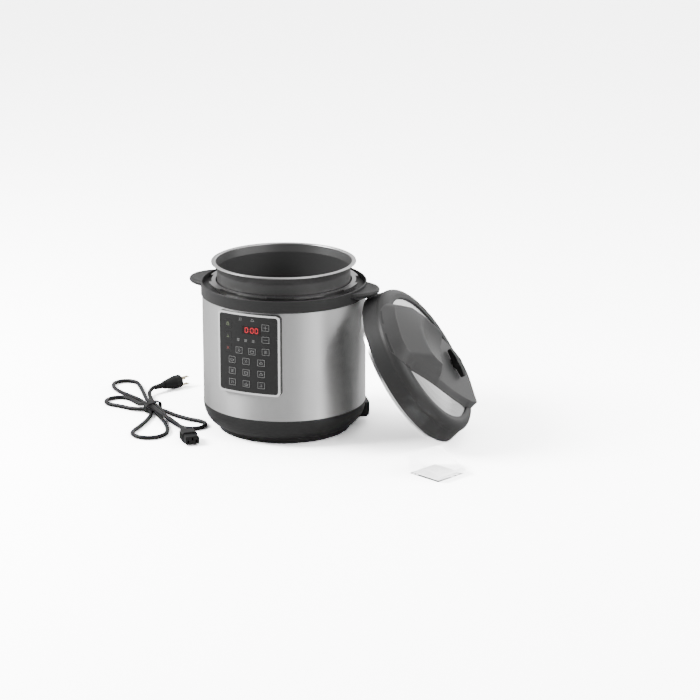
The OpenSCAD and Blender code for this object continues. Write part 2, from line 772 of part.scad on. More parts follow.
// Outlines of the bridge's two sides from its front end to the tip of its tail, X along the bridge.
side_a = concat(
    [[-142, -64]],
    curve([[-122, -68], [-103, -71], [-72, -70.5], [-25, -64], [16, -60], [59, -53], [96, -41],
           [tail_reach - 9, -27], [tail_reach, -8]], 4));
side_b = concat(
    [[-142, 27]],
    curve([[-114, 30], [-94, 38], [-56, 57], [-34, 62], [16, 56], [53, 48], [84, 43],
           [108, 33], [tail_reach - 7, 14], [tail_reach, -8]], 4));

module bridge_plan(inset) {
    end = tail_reach - (inset > 0 ? inset + 5 : eps);
    a = [for (p = side_a) if (p.x < end) [p.x, p.y + inset]];
    b = [for (p = side_b) if (p.x < end) [p.x, p.y - inset]];
    scale([lid_k, lid_k]) polygon(concat(
        a, [[tail_reach - inset, -8]], [for (i = [len(b) - 1:-1:0]) b[i]]));
}

module on_bridge() {
    leaning() rotate([0, 0, bridge_az]) children();
}

// Everything below the bridge: the cover and the dome with a small gap.
module under_bridge() {
    rotate_extrude($fn = 144) polygon(concat(
        [[0, -20], [lid_r + 20, -20], [lid_r + 20, 0]],
        cover_outer(bridge_gap),
        [[lip_r - bridge_gap, cover_top - 1.4], [crown_r, dome_flat + bridge_gap]],
        [for (i = [1:8]) let (r = crown_r * (1 - i / 8))
            [r, crown_h + bridge_gap - dome_sphere + sqrt(dome_sphere * dome_sphere - r * r)]]));
}

grip_front = -78;
grip_end = -17;
module grip_form() {
    intersection() {
        rotate([90, 0, 0]) linear_extrude(200, center = true) polygon(concat(
            [[-lid_r, 45], [-lid_r + 12, bridge_front - 2]],
            curve([[-lid_r + 16, bridge_front], [-100, bridge_front + 8], [grip_front, grip_h],
                   [-45, grip_h + 1.5], [grip_end, grip_h - 1]], 4),
            [[grip_end + 2, 45]]));
        rotate([90, 0, 90]) linear_extrude(400, center = true) difference() {
            polygon([[-66, 45], [-66, bridge_front - 4], [-grip_w, grip_h + 2], [grip_w - 4, grip_h + 2],
                     [62, bridge_front - 4], [62, 45]]);
            translate([0, grip_h + 84]) circle(92, $fn = 180);
        }
    }
}

module lid_bridge() {
    color([0.15, 0.15, 0.16]) on_bridge() difference() {
        intersection() {
            linear_extrude(120) bridge_plan(0);
            // the fascia at the front follows the slant of the cover's side
            union() {
                cylinder(r1 = lid_r, r2 = lid_r - 15, h = 66, $fn = 144);
                translate([0, 0, 66 - eps]) cylinder(r = lid_r - 15, h = 30, $fn = 144);
            }
            union() {
                rotate([90, 0, 0]) linear_extrude(200, center = true) polygon([
                    [-lid_r - 5, 28], [-lid_r - 5, bridge_front - 3], [-lid_r + 11, bridge_front],
                    [tail_reach - 20, bridge_tail + 0.6], [tail_reach + 4, bridge_tail - 1.5],
                    [tail_reach + 4, bridge_tail - 15], [100, bridge_tail - 15], [60, 20]]);
                grip_form();
            }
        }
        rotate([0, 0, -bridge_az]) under_bridge();
        // hollow inside, open to the dome
        difference() {
            linear_extrude(bridge_tail - 3.5) bridge_plan(7);
            for (p = screw_spots) translate([p.x, p.y, 0]) cylinder(r = 5, h = 60);
            rotate([0, 0, -bridge_az]) for (p = [valve_pos, float_pos])
                translate([p.x, p.y, 0]) cylinder(r = 12, h = 60);
            cylinder(r = lid_r, h = shoulder_h);
            difference() {
                cylinder(r = lid_r, h = 60);
                translate([0, 0, -1]) cylinder(r = lip_r - 2, h = 62);
            }
        }
        rotate([0, 0, -bridge_az]) {
            translate([valve_pos.x, valve_pos.y, 0]) cylinder(r = 9, h = 70);
            translate([float_pos.x, float_pos.y, 0]) cylinder(r = float_r + gap, h = 70);
        }
        for (p = screw_spots) translate([p.x, p.y, 30]) cylinder(r = 2.2, h = 17);
    }
}

screw_spots = lid_k * [[-62, 34], [-62, -34], [50, 30], [50, -30]];
function dome_top(r) = crown_h - dome_sphere + sqrt(dome_sphere * dome_sphere - r * r);

module lid_dome() {
    color([0.8, 0.8, 0.81]) leaning() difference() {
        union() {
            rotate_extrude($fn = 144) polygon(concat(
                [[skirt_r, -skirt_drop]],
                arc(shoulder_c, shoulder_h, dome_shoulder, 0, 90, 8),
                [for (i = [0:10]) let (r = crown_r * (1 - i / 10)) [r, dome_top(r)]],
                [for (i = [10:-1:0]) let (r = crown_r * (1 - i / 10)) [r, dome_top(r) - dome_t]],
                arc(shoulder_c, shoulder_h, dome_shoulder - dome_t, 90, 0, 8),
                [[skirt_r - dome_t, -skirt_drop]]));
            for (i = [0:lug_n - 1]) rotate([0, 0, i * 360 / lug_n]) lid_lug();
        }
        translate([valve_pos.x, valve_pos.y, 0]) cylinder(r = 5.2, h = 80);
        translate([float_pos.x, float_pos.y, 0]) cylinder(r = float_r + gap, h = 80);
        rotate([0, 0, bridge_az]) for (p = screw_spots) translate([p.x, p.y, 0]) cylinder(r = 2.2, h = 80);
    }
}

// One lug that passes between the housing's lugs and turns under them.
lid_lug_a = 360 / lug_n - lug_a - 2;
module lid_lug() {
    translate([0, 0, -skirt_drop]) rotate([0, 0, -lid_lug_a / 2]) rotate_extrude(angle = lid_lug_a)
        translate([lug_root + 1, 0]) square([skirt_r - lug_root - 1.5, 2.5]);
}

module sealing_ring() {
    c = shoulder_h;
    lip = seal_top - seal_lip;
    color([0.75, 0.75, 0.73]) leaning() rotate_extrude($fn = 144) polygon(concat(
        [[seal_out, c - 6]],
        arc(shoulder_c, c, seal_out - shoulder_c, 0, 90, 8),
        [[shoulder_c - 4, seal_top], [shoulder_c - 4, lip], [seal_in - 3, lip], [seal_in, c + 2],
         [seal_in, c - 6]]));
}

module ring_rack() {
    rack_z = shoulder_h - 9;
    color("silver") leaning() {
        translate([0, 0, rack_z]) tube(seal_in - 0.2, seal_in - 1.2, 10.8);
        for (a = [22.5:90:292.5]) rotate([0, 0, a]) translate([seal_in - 0.5, -4, rack_z])
            cube([skirt_r - dome_t - seal_in + 0.2, 8, 1.2]);
    }
}

module vent_pipe() {
    color("silver") leaning() translate([valve_pos.x, valve_pos.y, 0]) difference() {
        union() {
            translate([0, 0, 34]) cylinder(r = 5, h = valve_seat + 6 - 34);
            translate([0, 0, 34]) cylinder(r = 9, h = 4);
            // the two nuts that clamp the dome between them
            translate([0, 0, dome_top(norm(valve_pos) - 8) + 0.05]) cylinder(r = 8, h = 3);
            translate([0, 0, dome_top(norm(valve_pos) + 8) - dome_t - 3.05]) cylinder(r = 8, h = 3);
        }
        translate([0, 0, 30]) cylinder(r = 1.6, h = 60);
    }
}

module vent_filter() {
    color("silver") leaning() translate([valve_pos.x, valve_pos.y, 0]) difference() {
        translate([0, 0, 20]) cylinder(r = 11, h = 13.9);
        translate([0, 0, 21]) cylinder(r = 9.3, h = 20);
        for (a = [0:30:330], z = [23.5, 27.5]) rotate([0, 0, a]) translate([8, -1, z]) cube([5, 2, 2.4]);
        for (x = [-6:3:6]) translate([x, 0, 18]) cylinder(r = 0.9, h = 5, $fn = 16);
    }
}

module valve_knob() {
    color([0.07, 0.07, 0.08]) leaning() translate([valve_pos.x, valve_pos.y, 0]) rotate([0, 0, valve_az])
        difference() {
            union() {
                translate([0, 0, valve_seat]) cylinder(r = 8.4, h = 12);
                intersection() {
                    translate([0, 0, valve_seat + 2.5]) linear_extrude(10.5) polygon(concat(
                        curve([[-valve_l / 2, 0], [-valve_l / 2 + 3, 5.5], [-10, 7.5], [0, 10], [10, 7.5],
                               [valve_l / 2 - 3, 5.5], [valve_l / 2, 0]], 4),
                        curve([[valve_l / 2, 0], [valve_l / 2 - 3, -5.5], [10, -7.5], [0, -10], [-10, -7.5],
                               [-valve_l / 2 + 3, -5.5], [-valve_l / 2, 0]], 4)));
                    translate([0, 60, valve_seat - 84]) rotate([90, 0, 0])
                        cylinder(r = 96, h = 120, $fn = 180);
                }
            }
            translate([0, 0, valve_seat - 1]) cylinder(r = 5.1, h = 7.4);
        }
}

module float_pin() {
    color([0.75, 0.1, 0.1]) leaning() translate([float_pos.x, float_pos.y, 0]) {
        top = bridge_tail + 1.5;
        translate([0, 0, 31]) cylinder(r = float_r, h = top - 31);
        translate([0, 0, 29]) cylinder(r = float_r + 1.6, h = 2);
    }
}

module float_seal() {
    color([0.75, 0.75, 0.73]) leaning() translate([float_pos.x, float_pos.y, 31.02])
        tube(float_r + 1.6, float_r + 0.05, 1.6);
}

module lid_screws() {
    color("silver") on_bridge() for (p = screw_spots) translate([p.x, p.y, 0]) {
        head = dome_top(norm(p)) - dome_t - 3.4;
        translate([0, 0, head]) difference() {
            cylinder(r = 4, h = 2.4);
            translate([-3, -0.5, -1]) cube([6, 1, 2]);
            translate([-0.5, -3, -1]) cube([1, 6, 2]);
        }
        translate([0, 0, head + 2.3]) cylinder(r = 2, h = 46.5 - head - 2.3);
    }
}

// ---- condensation cup ----

module cup_form(inset, bottom) {
    low = cup_low + 6 * inset;
    intersection() {
        rotate([90, 0, 0]) linear_extrude(cup_w, center = true) polygon([
            [2 + inset, bottom], [cup_l - 5 - inset, bottom], [cup_l - inset, low],
            [cup_l - inset, cup_h + 20], [inset, cup_h + 20]]);
        rotate([90, 0, 90]) linear_extrude(cup_l) polygon([
            [-cup_w / 2 + 5 + inset, bottom], [cup_w / 2 - 5 - inset, bottom],
            [cup_w / 2 - inset, cup_h + 20], [-cup_w / 2 + inset, cup_h + 20]]);
    }
}

module condensation_cup() {
    color([0.9, 0.92, 0.93, 0.4]) translate(cup_pos) rotate([0, 0, cup_az])
        translate([-cup_l / 2, 0, 0]) difference() {
            intersection() {
                cup_form(0, 0);
                // the side walls slope down from the tall wall to the low one
                rotate([90, 0, 0]) linear_extrude(cup_w + 20, center = true) polygon([
                    [0, 0], [cup_l + 2, 0], [cup_l + 2, cup_low], [cup_l * 0.55, cup_h * 0.62],
                    [14, cup_h], [0, cup_h]]);
            }
            cup_form(cup_t, cup_t);
        }
}

// ---- power cord, laid in a tied hank beside the cooker ----

tie_pos = [-232, -38];
tie_az = -23;
connector_az = -48;
connector_dir = [cos(connector_az), sin(connector_az), 0];
connector_pos = [-110, -146, 9.5];
connector_relief = 30;
plug_az = 68;
plug_dir = [cos(plug_az), sin(plug_az), 0];
plug_pos = [-269.5, 73.5, plug_d / 2];
plug_relief = 20;

cord_route = concat(
    [connector_pos - (connector_relief + 0.05) * connector_dir,
     connector_pos - (connector_relief + 7) * connector_dir], [
    [-150, -105, 9.2], [-168, -92.5, 10.8], [-190, -79, 12.4], [-210, -62.5, 12.6],
    [-227.7, -45.8, 12.4], [-239.9, -38.6, 12.4], [-253.2, -31.7, 10.2], [-265.5, -23, 5.6],
    [-283, -9, 3.6], [-296.5, -0.3, 3.6], [-308.8, 3.2, 3.6], [-320.9, -0.6, 3.6], [-328.9, -10.6, 3.6],
    [-330, -23.3, 3.6], [-324, -34.4, 3.6], [-312.7, -40.4, 3.6], [-292, -42.5, 3.6], [-273, -46, 3.6],
    [-257.5, -46.5, 4.4], [-243, -44.8, 5.1], [-232.5, -49, 5.1], [-224.5, -58.5, 4.4],
    [-219, -72, 3.6], [-213.5, -96, 3.6], [-210, -122, 3.6], [-207.5, -149, 3.6], [-202.2, -165.5, 3.6],
    [-188.2, -175.6, 3.6], [-170.8, -175.6, 3.6], [-156.8, -165.5, 3.6], [-151.5, -149, 3.6],
    [-154, -133, 3.6], [-164, -114, 3.6], [-181, -91, 3.6], [-199, -71, 3.6], [-214, -56.5, 4.4],
    [-227, -41.5, 5.1], [-238.1, -33.5, 5.1], [-248.5, -23.5, 4.6], [-260.4, -12, 3.6],
    [-276, 0.5, 3.6], [-297, 12.5, 3.6], [-317, 22, 3.6], [-337, 33, 3.6], [-353, 46, 3.6],
    [-362, 58.5, 3.6], [-366, 68.8, 3.6], [-364.5, 79.9, 3.6], [-357.7, 88.7, 3.6], [-347.5, 93.1, 3.6],
    [-336.4, 92, 3.6], [-327.3, 85.5, 3.6], [-311, 66, 3.6], [-299, 50, 3.6], [-288, 35, 3.6],
    [-278, 21, 3.7], [-267.4, 6.4, 4.6], [-257.3, -6.5, 8.2], [-246.4, -20.5, 11.6],
    [-235.6, -30.6, 12.4], [-223.8, -39.1, 12.4], [-206.4, -54.3, 9], [-186, -71, 4.6],
    [-164, -88, 3.6], [-147.1, -98.9, 3.6], [-134.5, -103.9, 3.6], [-121.3, -100.7, 3.6],
    [-112.6, -90.2, 3.6], [-111.7, -76.7, 3.6], [-118.9, -65.1, 3.6], [-130.8, -60.2, 3.6],
    [-142, -58.9, 3.6], [-153, -57.5, 3.6], [-177, -50.5, 3.6], [-200, -41.5, 4.2], [-221, -33.4, 5.1],
    [-233, -26.2, 5.1], [-243, -13.2, 4.8], [-254, 2.3, 4.6], [-263.7, 15.2, 4.8], [-273, 27.4, 6.2],
    [-278.2, 37.5, 8.4],
    plug_pos - (plug_relief + 5) * plug_dir,
    plug_pos - (plug_relief + 0.05) * plug_dir]);

module power_cord() {
    color([0.1, 0.1, 0.1]) sweep(cord_route, cord_d / 2, 8);
}

module cord_tie() {
    color([0.05, 0.05, 0.05]) translate([tie_pos.x, tie_pos.y, 0]) rotate([0, 0, tie_az])
        rotate([90, 0, 90]) linear_extrude(9, center = true) translate([0, 8.8]) difference() {
            rounded(34, 17.4, 7);
            rounded(31.8, 15.2, 6);
        }
}

nose_l = 16;
module cord_connector() {
    color([0.08, 0.08, 0.08]) translate(connector_pos) rotate([0, 0, connector_az]) difference() {
        union() {
            rotate([90, 0, 90]) linear_extrude(connector_l - nose_l) rounded(26, 19, 5);
            rotate([90, 0, 90]) linear_extrude(connector_l) rounded(socket_w - 4.8, socket_h - 4.8, 2.4);
            rotate([0, 90, 0]) translate([0, 0, -connector_relief])
                cylinder(r1 = cord_d / 2 + 0.6, r2 = 7.5, h = connector_relief + 1);
        }
        for (p = [[-7, -2], [7, -2], [0, 2.5]])
            translate([connector_l - nose_l, p.x - 1.4, p.y - 2.4]) cube([20, 2.8, 4.8]);
        for (x = [7:4:15], s = [-1, 1]) translate([x, s * 13, 0]) cube([1.6, 1.6, 12], center = true);
    }
}

module plug_body() {
    color([0.08, 0.08, 0.08]) translate(plug_pos) rotate([0, 90, plug_az]) difference() {
        union() {
            translate([0, 0, plug_l - 12]) cylinder(r = plug_d / 2, h = 12);
            cylinder(r1 = 7, r2 = plug_d / 2, h = plug_l - 12);
            translate([0, 0, -plug_relief]) cylinder(r1 = cord_d / 2 + 0.6, r2 = 5.5, h = plug_relief);
        }
        blade_shapes(0.05);
    }
}

module blade_shapes(grow) {
    for (s = [-1, 1]) translate([s * 6.35 - 0.75 - grow, -8 - grow, plug_l - 8])
        cube([1.5 + 2 * grow, 6.4 + 2 * grow, 8 + 16]);
    translate([0, 7, plug_l - 8]) cylinder(r = 2.4 + grow, h = 8 + 19, $fn = 32);
}

module plug_blades() {
    color("goldenrod") translate(plug_pos) rotate([0, 90, plug_az]) blade_shapes(0);
}

outer_shell();
base_tray();
foot_pads();
top_ring();
pressure_housing();
heater_plate();
heating_element();
temp_sensor();
sensor_spring();
sensor_bracket();
pressure_switch();
power_board();
inlet_socket();
inlet_pins();
cup_dock();
dock_screws();
base_screws();
panel_housing();
panel_frame();
panel_overlay();
display_window();
display_module();
control_board();
key_lock();
key_delay();
key_stop();
key_plus();
key_minus();
key_set();
key_warm();
key_start();
key_rice();
key_soup();
key_meat();
key_bean();
key_stew();
key_fish();
key_steam();
key_cake();
key_slow();
inner_pot();
lid_cover();
lid_bridge();
lid_dome();
sealing_ring();
ring_rack();
valve_knob();
vent_pipe();
float_pin();
float_seal();
vent_filter();
lid_screws();
condensation_cup();
cord_connector();
power_cord();
plug_body();
plug_blades();
cord_tie();
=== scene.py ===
"""Looks, light and camera for the pressure cooker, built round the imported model. Metres."""
import json
import math

import bmesh
import bpy
from mathutils import Euler, Matrix, Vector


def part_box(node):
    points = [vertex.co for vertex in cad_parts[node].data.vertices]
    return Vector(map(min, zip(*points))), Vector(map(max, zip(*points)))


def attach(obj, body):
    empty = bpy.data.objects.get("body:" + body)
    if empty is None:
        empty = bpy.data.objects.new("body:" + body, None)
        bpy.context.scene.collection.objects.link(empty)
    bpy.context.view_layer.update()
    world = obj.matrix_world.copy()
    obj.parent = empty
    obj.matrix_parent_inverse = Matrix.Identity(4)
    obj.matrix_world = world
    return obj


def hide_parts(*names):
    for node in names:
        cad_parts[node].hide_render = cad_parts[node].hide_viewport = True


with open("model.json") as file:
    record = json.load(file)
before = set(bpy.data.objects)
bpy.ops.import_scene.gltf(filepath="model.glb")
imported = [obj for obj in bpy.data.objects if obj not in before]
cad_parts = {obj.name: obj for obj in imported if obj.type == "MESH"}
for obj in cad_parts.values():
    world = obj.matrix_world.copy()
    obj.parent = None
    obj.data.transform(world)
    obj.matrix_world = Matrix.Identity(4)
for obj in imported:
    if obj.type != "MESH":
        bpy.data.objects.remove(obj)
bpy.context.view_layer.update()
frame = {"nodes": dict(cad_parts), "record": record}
NODES = frame["nodes"]

# ---- camera ----

FOCAL_PX = 2600
FRAME_PX = 700
SENSOR = 36.0
CAMERA_AT = Vector((1.7982, -3.7684, 1.369))
CAMERA_DIR = Vector((-0.3899, 0.8757, -0.2850))


def add_camera():
    data = bpy.data.cameras.new("camera")
    data.sensor_width = SENSOR
    data.lens = SENSOR * FOCAL_PX / FRAME_PX
    data.clip_end = 60
    obj = bpy.data.objects.new("camera", data)
    bpy.context.scene.collection.objects.link(obj)
    obj.location = CAMERA_AT
    obj.rotation_mode = "QUATERNION"
    obj.rotation_quaternion = CAMERA_DIR.to_track_quat("-Z", "Y")
    bpy.context.scene.camera = obj


add_camera()

# ---- materials ----


BUMP_DEPTH = 0.0002


def principled(name, color, rough=0.5, metal=0.0, coat=0.0, specular=0.5,
               grain=0.0, grain_scale=900.0, rough_spread=0.0, tint_spread=0.0, stretch=(1, 1, 1),
               aniso=0.0, transmission=0.0, ior=1.5, emission=None, glow=0.0):
    """A Principled material whose colour, roughness and fine relief vary with noise."""
    mat = bpy.data.materials.new(name)
    mat.use_nodes = True
    tree = mat.node_tree
    bsdf = tree.nodes["Principled BSDF"]
    bsdf.inputs["Base Color"].default_value = (*color, 1)
    bsdf.inputs["Roughness"].default_value = rough
    bsdf.inputs["Metallic"].default_value = metal
    bsdf.inputs["Coat Weight"].default_value = coat
    bsdf.inputs["Coat Roughness"].default_value = 0.1
    bsdf.inputs["Specular IOR Level"].default_value = specular
    bsdf.inputs["IOR"].default_value = ior
    bsdf.inputs["Transmission Weight"].default_value = transmission
    bsdf.inputs["Anisotropic"].default_value = aniso
    if emission:
        bsdf.inputs["Emission Color"].default_value = (*emission, 1)
        bsdf.inputs["Emission Strength"].default_value = glow
    if not (grain or rough_spread or tint_spread):
        return mat
    coords = tree.nodes.new("ShaderNodeTexCoord")
    mapping = tree.nodes.new("ShaderNodeMapping")
    mapping.inputs["Scale"].default_value = stretch
    noise = tree.nodes.new("ShaderNodeTexNoise")
    noise.inputs["Scale"].default_value = grain_scale
    noise.inputs["Detail"].default_value = 3
    tree.links.new(coords.outputs["Object"], mapping.inputs["Vector"])
    tree.links.new(mapping.outputs["Vector"], noise.inputs["Vector"])
    if rough_spread:
        ramp = tree.nodes.new("ShaderNodeMapRange")
        ramp.inputs["To Min"].default_value = max(0.02, rough - rough_spread)
        ramp.inputs["To Max"].default_value = min(1.0, rough + rough_spread)
        tree.links.new(noise.outputs["Fac"], ramp.inputs["Value"])
        tree.links.new(ramp.outputs["Result"], bsdf.inputs["Roughness"])
    if tint_spread:
        mix = tree.nodes.new("ShaderNodeMix")
        mix.data_type = "RGBA"
        mix.inputs["A"].default_value = (*[c * (1 - tint_spread) for c in color], 1)
        mix.inputs["B"].default_value = (*[min(1, c * (1 + tint_spread)) for c in color], 1)
        tree.links.new(noise.outputs["Fac"], mix.inputs["Factor"])
        tree.links.new(mix.outputs["Result"], bsdf.inputs["Base Color"])
    if grain:
        bump = tree.nodes.new("ShaderNodeBump")
        bump.inputs["Strength"].default_value = grain
        bump.inputs["Distance"].default_value = BUMP_DEPTH
        tree.links.new(noise.outputs["Fac"], bump.inputs["Height"])
        tree.links.new(bump.outputs["Normal"], bsdf.inputs["Normal"])
    return mat


def grey(v):
    """A neutral colour of one brightness."""
    return (v, v, v)


def radial_tangent(mat):
    """Turns a brushed finish round the object's upright axis."""
    tree = mat.node_tree
    tangent = tree.nodes.new("ShaderNodeTangent")
    tangent.direction_type = "RADIAL"
    tangent.axis = "Z"
    bsdf = tree.nodes["Principled BSDF"]
    bsdf.inputs["Anisotropic Rotation"].default_value = 0.25
    tree.links.new(tangent.outputs["Tangent"], bsdf.inputs["Tangent"])
    return mat


def height_split(name, below, above, z, blend=0.002):
    """Mixes two finishes by height, for the bright rim over the pot's satin body."""
    mat = bpy.data.materials.new(name)
    mat.use_nodes = True
    tree = mat.node_tree
    out = tree.nodes["Material Output"]
    lower = tree.nodes["Principled BSDF"]
    upper = tree.nodes.new("ShaderNodeBsdfPrincipled")
    for node, source in ((lower, below), (upper, above)):
        source_node = source.node_tree.nodes["Principled BSDF"]
        for socket in ("Base Color", "Roughness", "Metallic", "Specular IOR Level"):
            node.inputs[socket].default_value = source_node.inputs[socket].default_value
    coords = tree.nodes.new("ShaderNodeTexCoord")
    split = tree.nodes.new("ShaderNodeSeparateXYZ")
    ramp = tree.nodes.new("ShaderNodeMapRange")
    ramp.inputs["From Min"].default_value = z
    ramp.inputs["From Max"].default_value = z + blend
    mix = tree.nodes.new("ShaderNodeMixShader")
    tree.links.new(coords.outputs["Object"], split.inputs["Vector"])
    tree.links.new(split.outputs["Z"], ramp.inputs["Value"])
    tree.links.new(ramp.outputs["Result"], mix.inputs["Fac"])
    tree.links.new(lower.outputs["BSDF"], mix.inputs[1])
    tree.links.new(upper.outputs["BSDF"], mix.inputs[2])
    tree.links.new(mix.outputs["Shader"], out.inputs["Surface"])
    noise = tree.nodes.new("ShaderNodeTexNoise")
    noise.inputs["Scale"].default_value = POT_GRAIN_SCALE
    bump = tree.nodes.new("ShaderNodeBump")
    bump.inputs["Strength"].default_value = POT_GRAIN
    bump.inputs["Distance"].default_value = BUMP_DEPTH
    tree.links.new(coords.outputs["Object"], noise.inputs["Vector"])
    tree.links.new(noise.outputs["Fac"], bump.inputs["Height"])
    tree.links.new(bump.outputs["Normal"], lower.inputs["Normal"])
    return mat


def plastic(name, shade, rough=0.42, grain=0.12, grain_scale=900.0, specular=0.22):
    """A moulded plastic with a fine grain."""
    return principled(name, grey(shade), rough, specular=specular, grain=grain,
                      grain_scale=grain_scale, rough_spread=0.06, tint_spread=0.06)


def bare_metal(name, shade, rough=0.3, grain=0.05):
    """An uncoated metal."""
    return principled(name, grey(shade), rough, 1, rough_spread=0.05, tint_spread=0.03,
                      grain=grain)


POT_RIM_FOOT = 0.2818
POT_GRAIN, POT_GRAIN_SCALE = 0.06, 1500

MATS = {
    "shell_steel": radial_tangent(principled(
        "shell_steel", grey(0.6), 0.42, 1, rough_spread=0.04, tint_spread=0.05,
        grain=0.05, grain_scale=70, stretch=(1, 1, 40), aniso=0.8)),
    "black_plastic": plastic("black_plastic", 0.03, 0.45),
    "rubber_black": plastic("rubber_black", 0.02, 0.8),
    "housing_steel": bare_metal("housing_steel", 0.42, 0.32),
    "cast_aluminium": bare_metal("cast_aluminium", 0.6, 0.38, 0.1),
    "element_steel": bare_metal("element_steel", 0.2, 0.55),
    "sensor_aluminium": bare_metal("sensor_aluminium", 0.66),
    "spring_steel": bare_metal("spring_steel", 0.6, 0.25),
    "inner_plastic": plastic("inner_plastic", 0.012, 0.5, 0.08),
    "circuit_board": principled("circuit_board", (0.03, 0.12, 0.05), 0.4, coat=0.3, tint_spread=0.15),
    "pin_brass": principled("pin_brass", (0.72, 0.62, 0.42), 0.25, 1, rough_spread=0.05),
    "screw_steel": bare_metal("screw_steel", 0.5, 0.35),
    "panel_plastic": plastic("panel_plastic", 0.024, 0.35, 0.05),
    "panel_chrome": bare_metal("panel_chrome", 0.9, 0.22, 0.0),
    "overlay_plastic": plastic("overlay_plastic", 0.024, 0.3, 0.03),
    "key_plastic": plastic("key_plastic", 0.027, 0.32, 0.03),
    "display_glass": principled("display_glass", (0.012, 0.004, 0.004), 0.12, specular=0.3,
                                rough_spread=0.02),
    "pot_coating": height_split(
        "pot_coating",
        principled("pot_body_finish", grey(0.075), 0.42, 0.45, specular=0.3),
        principled("pot_rim_finish", grey(0.62), 0.28, 1.0), POT_RIM_FOOT),
    "lid_plastic": plastic("lid_plastic", 0.034, 0.42),
    "bridge_plastic": plastic("bridge_plastic", 0.043, 0.45, 0.3, 700, specular=0.4),
    "dome_steel": bare_metal("dome_steel", 0.75, 0.2, 0.03),
    "silicone_clear": principled("silicone_clear", grey(0.62), 0.5, transmission=0.3, rough_spread=0.05),
    "knob_plastic": plastic("knob_plastic", 0.009, 0.45, 0.1),
    "vent_steel": bare_metal("vent_steel", 0.65, 0.25),
    "float_plastic": principled("float_plastic", grey(0.5), 0.35, rough_spread=0.05),
    "cup_clear": principled("cup_clear", grey(0.95), 0.04, transmission=1.0, ior=1.12, rough_spread=0.02),
    "cord_plastic": plastic("cord_plastic", 0.01, 0.5, 0.1),
    "cord_jacket": plastic("cord_jacket", 0.01, 0.42, 0.06),
    "tie_plastic": plastic("tie_plastic", 0.008, 0.5, 0.05),
}

# Each solid gets the material that the record names for it.
for part in frame["record"]["subparts"]:
    mesh = NODES[part["node"]].data
    mesh.materials.clear()
    mesh.materials.append(MATS[part["material_slot"]])

# ---- power cord ----

MM = 0.001
CORD_D = 7
CONNECTOR_AZ = math.radians(-48)
CONNECTOR_AT = Vector((-110, -146, 9.5))
CONNECTOR_DIR = Vector((math.cos(CONNECTOR_AZ), math.sin(CONNECTOR_AZ), 0))
CONNECTOR_RELIEF = 30
PLUG_AZ = math.radians(68)
PLUG_AT = Vector((-269.5, 73.5, 11.5))
PLUG_DIR = Vector((math.cos(PLUG_AZ), math.sin(PLUG_AZ), 0))
PLUG_RELIEF = 20
LOOSE_ROUTE = [
    (-150, -105, 9.2), (-168, -92.5, 10.8), (-190, -79, 12.4), (-210, -62.5, 12.6),
    (-227.7, -45.8, 12.4), (-239.9, -38.6, 12.4), (-253.2, -31.7, 10.2), (-265.5, -23, 5.6),
    (-283, -9, 3.6), (-296.5, -0.3, 3.6), (-308.8, 3.2, 3.6), (-320.9, -0.6, 3.6), (-328.9, -10.6, 3.6),
    (-330, -23.3, 3.6), (-324, -34.4, 3.6), (-312.7, -40.4, 3.6), (-292, -42.5, 3.6), (-273, -46, 3.6),
    (-257.5, -46.5, 4.4), (-243, -44.8, 5.1), (-232.5, -49, 5.1), (-224.5, -58.5, 4.4),
    (-219, -72, 3.6), (-213.5, -96, 3.6), (-210, -122, 3.6), (-207.5, -149, 3.6), (-202.2, -165.5, 3.6),
    (-188.2, -175.6, 3.6), (-170.8, -175.6, 3.6), (-156.8, -165.5, 3.6), (-151.5, -149, 3.6),
    (-154, -133, 3.6), (-164, -114, 3.6), (-181, -91, 3.6), (-199, -71, 3.6), (-214, -56.5, 4.4),
    (-227, -41.5, 5.1), (-238.1, -33.5, 5.1), (-248.5, -23.5, 4.6), (-260.4, -12, 3.6),
    (-276, 0.5, 3.6), (-297, 12.5, 3.6), (-317, 22, 3.6), (-337, 33, 3.6), (-353, 46, 3.6),
    (-362, 58.5, 3.6), (-366, 68.8, 3.6), (-364.5, 79.9, 3.6), (-357.7, 88.7, 3.6), (-347.5, 93.1, 3.6),
    (-336.4, 92, 3.6), (-327.3, 85.5, 3.6), (-311, 66, 3.6), (-299, 50, 3.6), (-288, 35, 3.6),
    (-278, 21, 3.7), (-267.4, 6.4, 4.6), (-257.3, -6.5, 8.2), (-246.4, -20.5, 11.6),
    (-235.6, -30.6, 12.4), (-223.8, -39.1, 12.4), (-206.4, -54.3, 9), (-186, -71, 4.6),
    (-164, -88, 3.6), (-147.1, -98.9, 3.6), (-134.5, -103.9, 3.6), (-121.3, -100.7, 3.6),
    (-112.6, -90.2, 3.6), (-111.7, -76.7, 3.6), (-118.9, -65.1, 3.6), (-130.8, -60.2, 3.6),
    (-142, -58.9, 3.6), (-153, -57.5, 3.6), (-177, -50.5, 3.6), (-200, -41.5, 4.2), (-221, -33.4, 5.1),
    (-233, -26.2, 5.1), (-243, -13.2, 4.8), (-254, 2.3, 4.6), (-263.7, 15.2, 4.8), (-273, 27.4, 6.2),
    (-278.2, 37.5, 8.4),
]
CORD_ROUTE = [Vector(p) * MM for p in [
    CONNECTOR_AT - (CONNECTOR_RELIEF + 0.05) * CONNECTOR_DIR,
    CONNECTOR_AT - (CONNECTOR_RELIEF + 7) * CONNECTOR_DIR,
    *LOOSE_ROUTE,
    PLUG_AT - (PLUG_RELIEF + 5) * PLUG_DIR,
    PLUG_AT - (PLUG_RELIEF + 0.05) * PLUG_DIR]]


